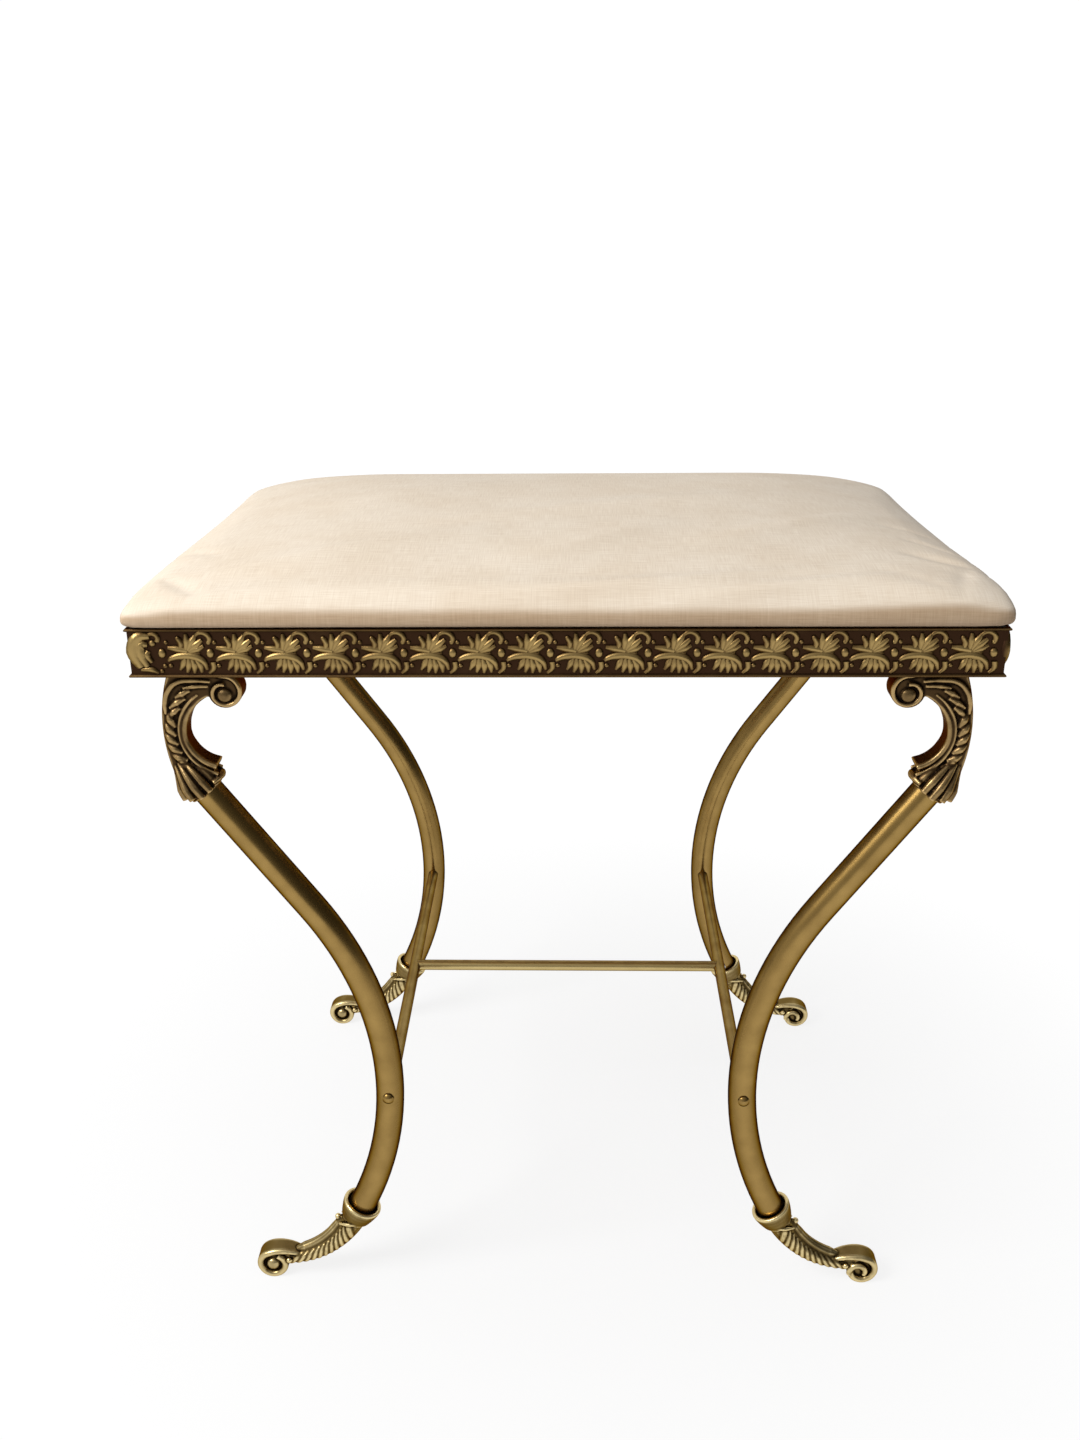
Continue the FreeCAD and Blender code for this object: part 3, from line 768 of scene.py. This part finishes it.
for vertex, start in zip(pad.data.vertices, before):
    way = vertex.co - start
    moved = max(moved, way.length)
    if way.length > most_swell:
        vertex.co = start + way.normalized() * most_swell
applied(pad, "SUBSURF", levels=1, render_levels=1)
print("pad", len(pad.data.polygons), "faces, swelled by", moved)

# %% Sink the rear corners and swell the roll
rear_drop = 0.85
right_lift = 0.18
left_drop = 0.06
rim_overhang = 4.2 * MM


def share_between(value, start, end):
    """How far a value has come from start to end, from 0 to 1."""
    return min(max((value - start) / (end - start), 0.0), 1.0)


def ease(value, start, end):
    """Goes smoothly from 0 at start to 1 at end."""
    share = share_between(value, start, end)
    return share * share * (3 - 2 * share)


def rounded(value, start, end):
    """Goes from 0 at start to 1 at end along a quarter of a circle, slowly first."""
    share = share_between(value, start, end)
    return 1 - math.sqrt(1 - share * share)


for vertex in pad.data.vertices:
    x, y = vertex.co.x / MM, vertex.co.y / MM
    height = vertex.co.z - frame_rim
    if height > 0:
        rear_corner = rounded(abs(x), 128, 241) * ease(y, -120, 150)
        right_front = ease(x, 120, 225) * ease(-y, 20, 140)
        left_front = ease(-x, 120, 225) * ease(-y, 20, 140)
        tall = 1 - rear_drop * rear_corner + right_lift * right_front - left_drop * left_front
        vertex.co.z = frame_rim + height * tall
        over_rim = ease(height / MM, 0.1, 1.8) * (1 - ease(height / MM, 11, 20))
        end, edge = ease(abs(x), 196, 232), ease(abs(y), 122, 157)
        spread = rim_overhang * over_rim * (1 - rear_corner)
        vertex.co.x += math.copysign(spread * end, x)
        vertex.co.y += math.copysign(spread * edge, y)
print("rear corners and roll moved")

# %% Pull the creases into the cloth
run_out = 0.15
calm_height = 1.5 * MM
crease_rise = 6 * MM


def fold(place, start, end, width, depth):
    """Depth at a place of a soft fold that runs from start to end and fades at both ends."""
    run = end - start
    share = (place - start).dot(run) / run.length_squared
    if share < -run_out or share > 1 + run_out:
        return 0.0
    off = (place - start - run * share).length / width
    fade = math.sin(math.pi * share_between(share, -run_out, 1 + run_out))
    return depth * fade * math.exp(-off * off)


folds = [
    ((-170, -150), (235, -147), 8, 1.4),
    ((-40, -158), (150, -124), 7, 1.5),
    ((60, -160), (200, -134), 6, 1.4),
    ((-205, -128), (-60, -56), 15, 2.2),
    ((-30, -110), (60, -40), 12, 1.8),
    ((-60, -20), (130, 44), 16, 2.1),
    ((90, -70), (214, 10), 11, 2.2),
    ((-150, 20), (-60, 90), 17, 1.7),
    ((196, -96), (238, -118), 5, -1.8),
    ((205, -60), (238, -84), 4, -1.6),
    ((196, -20), (236, -36), 4, -0.9),
    ((212, -160), (226, -118), 5, -0.9),
    ((-232, -116), (-202, -152), 5, -1.1),
    ((-236, -60), (-206, -84), 5, -0.8),
]
folds = [(Vector(a) * MM, Vector(b) * MM, w * MM, d * MM) for a, b, w, d in folds]
outwards = [vertex.normal.copy() for vertex in pad.data.vertices]
for vertex, way in zip(pad.data.vertices, outwards):
    height = vertex.co.z - frame_rim
    if height > calm_height:
        settle = min((height - calm_height) / crease_rise, 1.0)
        spot = Vector((vertex.co.x, vertex.co.y))
        vertex.co += way * settle * sum(fold(spot, *line) for line in folds)
only(pad)
bpy.ops.object.shade_smooth()
print("pad from", min(v.co.z for v in pad.data.vertices), "to", max(v.co.z for v in pad.data.vertices))

# %% Fold the hem under the board
board_low, board_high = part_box("seat_board")
hem_width = 34 * MM

bpy.ops.mesh.primitive_plane_add(size=1, location=(0, 0, board_low.z - cloth_thick / 2))
hem = bpy.context.object
hem.scale = (board_high.x - board_low.x, board_high.y - board_low.y, 1)
bpy.ops.object.transform_apply(location=True, rotation=True, scale=True)
bpy.ops.object.mode_set(mode="EDIT")
bpy.ops.mesh.select_all(action="SELECT")
bpy.ops.mesh.inset(thickness=hem_width)
bpy.ops.mesh.delete(type="FACE")
bpy.ops.object.mode_set(mode="OBJECT")
applied(hem, "SOLIDIFY", thickness=cloth_thick * 0.9, offset=0.0)
applied(hem, "BEVEL", width=0.4 * MM, segments=2)
pad = joined("seat_pad", [pad, hem])
print("hem", board_high.x - board_low.x, "by", board_high.y - board_low.y)
dressed(pad, "seat_cloth", "seat_cover", "seat_foam")

# %% [markdown]
# ## Brass
#
# Old brass is three colours at once: bright where hands rub it, a browner gold on the flats and a
# dark crust in the grooves. A node group mixes them by a `relief` value, stirred with soft clouds,
# and gives a roughness and a fine grain with them. Castings and bands bring their own relief as an
# attribute of their points. The smooth tubes and rods get painted shade instead: their relief
# follows which way the metal faces, dark on the flanks and bright on the faces to the front and rear.

# %% Node helpers and the aged brass group
def node(tree, kind, **settings):
    made = tree.nodes.new("ShaderNode" + kind)
    for key, value in settings.items():
        setattr(made, key, value)
    return made


def wire(tree, source, socket, target, place):
    tree.links.new(source.outputs[socket], target.inputs[place])


def preset(made, values):
    """Sets constant inputs of a node."""
    for place, value in values.items():
        made.inputs[place].default_value = value
    return made


def feed(tree, made, values):
    """Gives inputs of a node by number, each from a number or a pair of node and output."""
    for place, value in values.items():
        if isinstance(value, tuple):
            wire(tree, *value, made, place)
        else:
            made.inputs[place].default_value = value


def sums(tree, operation, *values, clamp=False):
    """Math node on two or three values."""
    made = node(tree, "Math", operation=operation, use_clamp=clamp)
    feed(tree, made, dict(enumerate(values)))
    return made, "Value"


def colour_mix(tree, share, first, second, blend="MIX"):
    """Mix of two colours by a share."""
    made = node(tree, "Mix", data_type="RGBA", blend_type=blend)
    feed(tree, made, {0: share, 6: first, 7: second})
    return made, 2


def noise(tree, source, socket, scale, detail=2.0):
    """Noise at a scale, laid on by another node's coordinates."""
    made = preset(node(tree, "TexNoise"), {"Scale": scale, "Detail": detail})
    wire(tree, source, socket, made, "Vector")
    return made


def ramp(tree, source, socket, low, high, start=0.0, end=1.0):
    """Blend from a low to a high colour as a value goes from start to end."""
    made = node(tree, "ValToRGB")
    for stop, place, colour in zip(made.color_ramp.elements, (start, end), (low, high)):
        stop.position = place
        stop.color = (*colour, 1)
    wire(tree, source, socket, made, "Fac")
    return made


def group_with(name, inputs, outputs):
    """Empty shader group; inputs and outputs are lists of (name, socket type)."""
    group = bpy.data.node_groups.new(name, "ShaderNodeTree")
    for title, kind in inputs:
        group.interface.new_socket(title, in_out="INPUT", socket_type="NodeSocket" + kind)
    for title, kind in outputs:
        group.interface.new_socket(title, in_out="OUTPUT", socket_type="NodeSocket" + kind)
    return group, group.nodes.new("NodeGroupInput"), group.nodes.new("NodeGroupOutput")


def aged_brass():
    """Three colours of brass mixed by relief, with their roughness and the height of a fine grain."""
    group, given, result = group_with(
        "aged_brass",
        [("Bright", "Color"), ("Worn", "Color"), ("Crust", "Color"),
         ("Relief", "Float"), ("Clouds", "Float"), ("Dullness", "Float")],
        [("Colour", "Color"), ("Roughness", "Float"), ("Height", "Float")],
    )
    where = node(group, "TexCoord")
    clouds = noise(group, where, "Object", 70, 5)
    grain = noise(group, where, "Object", 1400, 3)
    stirred = sums(group, "SUBTRACT", (clouds, "Fac"), 0.5)
    stirred = sums(group, "MULTIPLY", stirred, (given, "Clouds"))
    level = sums(group, "ADD", (given, "Relief"), stirred, clamp=True)
    lower = preset(node(group, "MapRange", interpolation_type="SMOOTHSTEP"), {"From Max": 0.5})
    upper = preset(node(group, "MapRange", interpolation_type="SMOOTHSTEP"), {"From Min": 0.5})
    wire(group, *level, lower, "Value")
    wire(group, *level, upper, "Value")
    dull = colour_mix(group, (lower, "Result"), (given, "Crust"), (given, "Worn"))
    gold = colour_mix(group, (upper, "Result"), dull, (given, "Bright"))
    wire(group, *gold, result, "Colour")
    rough = sums(group, "MULTIPLY_ADD", level, -0.2, (given, "Dullness"))
    speck = sums(group, "MULTIPLY_ADD", (grain, "Fac"), 0.1, rough)
    wire(group, *speck, result, "Roughness")
    wire(group, grain, "Fac", result, "Height")
    return group


def material_base(name):
    material = bpy.data.materials.new(name)
    material.use_nodes = True
    return material, material.node_tree, material.node_tree.nodes["Principled BSDF"]


def bump(tree, shader, source, socket, strength, depth):
    raised = preset(node(tree, "Bump"), {"Strength": strength, "Distance": depth})
    wire(tree, source, socket, raised, "Height")
    wire(tree, raised, "Normal", shader, "Normal")


def wear(obj, material):
    """Gives an object one material."""
    obj.data.materials.clear()
    obj.data.materials.append(material)


brass_age = aged_brass()


def brass(name, bright, worn, crust, clouds, dullness, grain=0.2, edge=0.40, plain=False):
    """Brass with its three colours. Edge is how bright it stays at a glancing view. A plain bar has
    no relief and gets painted shade instead: its flanks are painted dark and its faces to the front
    and rear bright, as reflections of dark surroundings would make them."""
    material, tree, shader = material_base(name)
    preset(shader, {"Metallic": 1.0, "Specular Tint": (edge, 0.7 * edge, 0.35 * edge, 1)})
    aged = preset(node(tree, "Group", node_tree=brass_age), {"Clouds": clouds, "Dullness": dullness})
    preset(aged, {"Bright": (*bright, 1), "Worn": (*worn, 1), "Crust": (*crust, 1)})
    # Painted shade and painted reflection: a plain bar's flanks darker, its front and rear faces brighter.
    if plain:
        facing = node(tree, "NewGeometry")
        way = node(tree, "SeparateXYZ")
        wire(tree, facing, "Normal", way, "Vector")
        front = sums(tree, "MULTIPLY", (way, "Y"), (way, "Y"))
        painted_flank_shade = sums(tree, "MULTIPLY_ADD", front, 0.6, 0.2)
        wire(tree, *painted_flank_shade, aged, "Relief")
    else:
        points = node(tree, "Attribute", attribute_name="relief")
        wire(tree, points, "Fac", aged, "Relief")
    wire(tree, aged, "Colour", shader, "Base Color")
    wire(tree, aged, "Roughness", shader, "Roughness")
    bump(tree, shader, aged, "Height", grain, 0.2 * MM)
    return material


# %% Brass of the castings, bands and tubes
# The caps' brass is darker than the feet's: partly patina, partly painted shade standing in for
# reflections of dark surroundings.
cap_patina_and_painted_shade = brass(
    "cap_brass_dark", (0.48, 0.325, 0.142), (0.072, 0.041, 0.017), (0.010, 0.006, 0.004),
    clouds=0.35, dullness=0.46,
)
foot_finish = brass(
    "foot_brass_worn", (0.80, 0.645, 0.33), (0.185, 0.125, 0.045), (0.012, 0.007, 0.003),
    clouds=0.35, dullness=0.44,
)
band_finish = brass(
    "band_brass_aged", (0.40, 0.275, 0.105), (0.145, 0.087, 0.032), (0.046, 0.022, 0.011),
    clouds=0.45, dullness=0.46,
)
tube_finish = brass(
    "tube_brass_satin", (0.40, 0.258, 0.084), (0.25, 0.155, 0.047), (0.095, 0.053, 0.017),
    clouds=0.45, dullness=0.33, grain=0.01, edge=0.08, plain=True,
)
rod_finish = brass(
    "rod_brass_bright", (0.62, 0.48, 0.22), (0.46, 0.34, 0.14), (0.24, 0.155, 0.06),
    clouds=0.45, dullness=0.36, grain=0.02, edge=0.15, plain=True,
)
for band in bands:
    wear(band, band_finish)
for casting in castings:
    wear(casting, cap_patina_and_painted_shade if "cap" in casting.name else foot_finish)
tubes = [name for name in nodes if name.startswith("leg_tube")] + ["stretcher_screws"]
rods = ["side_stretcher_left", "side_stretcher_right", "cross_stretcher"]
for name in tubes:
    wear(nodes[name], tube_finish)
for name in rods:
    wear(nodes[name], rod_finish)
print("brass on", len(bands) + len(castings) + len(tubes) + len(rods), "pieces")

# %% [markdown]
# ## Hidden metal and wood
#
# Under the seat are angle bars with brown paint, steel screws and staples, and a plywood board.
# The paint has a slight orange peel, the steel fine turning marks, and the board a long grain
# with its plies showing as layers on the edge.

# %% Paint, steel and plywood
def brown_paint():
    material, tree, shader = material_base("frame_paint_brown")
    peel = noise(tree, node(tree, "TexCoord"), "Object", 900)
    tone = ramp(tree, peel, "Fac", (0.040, 0.027, 0.014), (0.085, 0.058, 0.030))
    wire(tree, tone, "Color", shader, "Base Color")
    preset(shader, {"Roughness": 0.42})
    bump(tree, shader, peel, "Fac", 0.2, 0.2 * MM)
    return material


def plain_steel():
    material, tree, shader = material_base("fastener_steel_bright")
    marks = noise(tree, node(tree, "TexCoord"), "Object", 2200)
    tone = ramp(tree, marks, "Fac", (0.40, 0.39, 0.37), (0.62, 0.61, 0.59))
    wire(tree, tone, "Color", shader, "Base Color")
    preset(shader, {"Metallic": 1.0, "Roughness": 0.33})
    bump(tree, shader, marks, "Fac", 0.15, 0.1 * MM)
    return material


def plywood():
    material, tree, shader = material_base("plywood_birch")
    stretch = preset(node(tree, "Mapping"), {"Scale": (6, 90, 420)})
    wire(tree, node(tree, "TexCoord"), "Object", stretch, "Vector")
    grain = noise(tree, stretch, "Vector", 1.0, 6)
    tone = ramp(tree, grain, "Fac", (0.36, 0.22, 0.11), (0.62, 0.45, 0.27), 0.3, 0.7)
    wire(tree, tone, "Color", shader, "Base Color")
    preset(shader, {"Roughness": 0.7})
    bump(tree, shader, grain, "Fac", 0.2, 0.3 * MM)
    return material


steel = plain_steel()
for name in ("cover_staples", "seat_screws", "leg_screws", "set_screws"):
    wear(nodes[name], steel)
paint = brown_paint()
for side in ("front", "rear", "left", "right"):
    wear(nodes["frame_rail_" + side], paint)
wear(nodes["seat_board"], plywood())
print("paint, steel and plywood set")

# %% [markdown]
# ## Seat cloth
#
# A cream cloth with a fine plain weave, a few thicker threads and faint shading between lengths of
# yarn. The pattern has no unwrapped map to follow, so it is laid on from above, from the front and
# from the side, and mixed by which way the cloth faces. Long thin noise gives uneven threads both
# ways. The sides are painted a darker tan than the top, as painted shade where less light falls.

# %% Weave and cloth
threads_per_metre = 1900
yarn_changes_per_metre = 60.0


def linen_weave():
    """Uneven threads both ways, laid on the top, the ends and the sides; Shaded is 1 on the sides."""
    group, given, result = group_with(
        "linen_weave", [("Thread", "Float")], [("Tone", "Float"), ("Shaded", "Float")]
    )
    where = node(group, "TexCoord")
    spot = node(group, "SeparateXYZ")
    wire(group, where, "Object", spot, "Vector")
    facing = node(group, "NewGeometry")
    way = node(group, "SeparateXYZ")
    wire(group, facing, "Normal", way, "Vector")
    total = None
    for out, first, second in (("Z", "X", "Y"), ("Y", "X", "Z"), ("X", "Y", "Z")):
        threads = None
        for across, along in ((first, second), (second, first)):
            place = node(group, "CombineXYZ")
            fine = sums(group, "MULTIPLY", (spot, across), (given, "Thread"))
            long = sums(group, "MULTIPLY", (spot, along), yarn_changes_per_metre)
            wire(group, *fine, place, 0)
            wire(group, *long, place, 1)
            yarn = noise(group, place, "Vector", 1.0)
            half = sums(group, "MULTIPLY", (yarn, "Fac"), 0.5)
            threads = half if threads is None else sums(group, "ADD", threads, half)
        weight = sums(group, "MULTIPLY", (way, out), (way, out))
        part = sums(group, "MULTIPLY", threads, weight)
        total = part if total is None else sums(group, "ADD", total, part)
    wire(group, *total, result, "Tone")
    shaded = node(group, "MapRange", interpolation_type="SMOOTHSTEP")
    preset(shaded, {"From Min": 0.95, "From Max": 0.25})
    wire(group, way, "Z", shaded, "Value")
    wire(group, shaded, "Result", result, "Shaded")
    return group


def cream_cloth():
    """Cream cloth on top, with painted shade on the sides: a darker tan where the cloth faces sideways."""
    material, tree, shader = material_base("seat_cloth_cream")
    weave = preset(node(tree, "Group", node_tree=linen_weave()), {"Thread": threads_per_metre})
    cream = ramp(tree, weave, "Tone", (0.735, 0.615, 0.48), (0.91, 0.81, 0.675), 0.32, 0.68)
    # Painted shade: the sides get a darker tan than the top.
    painted_side_shade = ramp(tree, weave, "Tone", (0.435, 0.305, 0.19), (0.555, 0.41, 0.275), 0.32, 0.68)
    top_cream_side_shade = colour_mix(tree, (weave, "Shaded"), (cream, 0), (painted_side_shade, 0))
    cloud = noise(tree, node(tree, "TexCoord"), "Object", 22, 4)
    stain = ramp(tree, cloud, "Fac", (0.955, 0.935, 0.91), (1, 1, 1), 0.35, 0.62)
    soiled = colour_mix(tree, 1.0, top_cream_side_shade, (stain, 0), "MULTIPLY")
    wire(tree, *soiled, shader, "Base Color")
    preset(shader, {"Roughness": 0.92, "Specular IOR Level": 0.2})
    preset(shader, {"Sheen Weight": 0.1, "Sheen Roughness": 0.5})
    bump(tree, shader, weave, "Tone", 0.3, 0.3 * MM)
    return material


wear(pad, cream_cloth())
print("cloth on", pad.name)

# %% [markdown]
# ## Stage and light
#
# A white floor runs back and sweeps up behind the stool, so no horizon shows. A large soft lamp
# stands to the left and in front, as in the photograph, where the left edge of the seat is nearly
# white and the right side darker. The world is brighter on the lamp's side, which gives the brass a
# bright and a dark flank. The floor shows as white paper to the camera and in reflections, while
# near the stool a part of its own shading comes through and keeps the soft shadow.

# %% Floor and sweep
floor_size = 6
sweep_height = 4
sweep_radius = 1.6
rear_edge = floor_size / 2 - 0.1

bpy.ops.mesh.primitive_plane_add(size=floor_size, location=(0, 0, 0))
floor = bpy.context.object
floor.name = "floor_sweep"
bpy.ops.object.mode_set(mode="EDIT")
bpy.ops.mesh.select_mode(type="EDGE")
bpy.ops.mesh.select_all(action="DESELECT")
bpy.ops.object.mode_set(mode="OBJECT")
for edge in floor.data.edges:
    edge.select = all(floor.data.vertices[v].co.y > rear_edge for v in edge.vertices)
bpy.ops.object.mode_set(mode="EDIT")
bpy.ops.mesh.extrude_region_move(TRANSFORM_OT_translate={"value": (0, 0, sweep_height)})
bpy.ops.object.mode_set(mode="OBJECT")
for edge in floor.data.edges:
    ends = [floor.data.vertices[v].co for v in edge.vertices]
    edge.select = all(p.y > rear_edge and p.z < 0.1 for p in ends)
bpy.ops.object.mode_set(mode="EDIT")
bpy.ops.mesh.bevel(offset=sweep_radius, segments=16, affect="EDGES")
bpy.ops.object.mode_set(mode="OBJECT")
bpy.ops.object.shade_smooth()
print("floor", len(floor.data.polygons), "faces")

# %% White of the floor
floor_white, tree, shader = material_base("floor_white")
preset(shader, {"Base Color": (0.78, 0.78, 0.785, 1), "Roughness": 1.0, "Specular IOR Level": 0.0})
paper = preset(node(tree, "Emission"), {"Strength": 1.03})
rays = node(tree, "LightPath")
seen = sums(tree, "ADD", (rays, "Is Camera Ray"), (rays, "Is Glossy Ray"), clamp=True)
seen = sums(tree, "ADD", seen, (rays, "Is Transmission Ray"), clamp=True)
where = node(tree, "TexCoord")
apart = node(tree, "VectorMath", operation="LENGTH")
wire(tree, where, "Object", apart, 0)
near = node(tree, "MapRange", interpolation_type="SMOOTHSTEP")
preset(near, {"From Min": 0.1, "From Max": 0.7, "To Min": 0.78, "To Max": 1.0})
wire(tree, apart, "Value", near, "Value")
share = sums(tree, "MULTIPLY", seen, (near, "Result"))
mixed = node(tree, "MixShader")
wire(tree, *share, mixed, 0)
wire(tree, shader, "BSDF", mixed, 1)
wire(tree, paper, "Emission", mixed, 2)
wire(tree, mixed, "Shader", tree.nodes["Material Output"], "Surface")
wear(floor, floor_white)
print("floor white set")

# %% Lamp
lamp_place = Vector((-1.15, -0.8, 1.45))
lamp_target = Vector((0, 0, 0.35))

bpy.ops.object.light_add(type="AREA", location=lamp_place)
lamp = bpy.context.object
lamp.name = "key_lamp"
lamp.data.size = 0.8
lamp.data.energy = 24
lamp.rotation_euler = (lamp_target - lamp_place).to_track_quat("-Z", "Y").to_euler()
print("lamp at", tuple(lamp_place))

# %% World
bright_side = Vector((-0.80, -0.05, 0.60)).normalized()
world = bpy.data.worlds.new("studio")
bpy.context.scene.world = world
world.use_nodes = True
tree = world.node_tree
view = node(tree, "TexCoord")
towards = preset(node(tree, "VectorMath", operation="DOT_PRODUCT"), {1: bright_side})
wire(tree, view, "Generated", towards, 0)
spread = preset(node(tree, "MapRange"), {"From Min": -1})
wire(tree, towards, "Value", spread, "Value")
glow = ramp(tree, spread, "Result", (0.10, 0.097, 0.093), (1, 1, 1), 0.25, 0.95)
background = tree.nodes["Background"]
wire(tree, glow, "Color", background, "Color")
preset(background, {"Strength": 0.75})
bpy.context.scene.view_settings.view_transform = "Standard"
print("world set")

# %% [markdown]
# ## Camera
#
# The camera stands in front of the stool a little above it and looks down at it. Its place and
# turn were worked out from the corners of the seat frame and the four toes in the photograph.

# %% Camera
eye = Vector((5.5, -856.5, 697.6)) * MM
pitch, yaw, roll = 0.3878, -0.0274, 0.0101
image_height = 1440
focal_pixels = 1347.6
forward = Vector((math.sin(yaw) * math.cos(pitch), math.cos(yaw) * math.cos(pitch), -math.sin(pitch)))
level = Vector((math.cos(yaw), -math.sin(yaw), 0))
down = forward.cross(level)
right = math.cos(roll) * level + math.sin(roll) * down
below = -math.sin(roll) * level + math.cos(roll) * down
bpy.ops.object.camera_add(location=eye)
camera = bpy.context.object
camera.matrix_world = Matrix.Translation(eye) @ Matrix((right, -below, -forward)).transposed().to_4x4()
camera.data.sensor_width = 36
camera.data.lens = focal_pixels * camera.data.sensor_width / image_height
bpy.context.scene.camera = camera
print("camera at", tuple(eye), "lens", camera.data.lens)
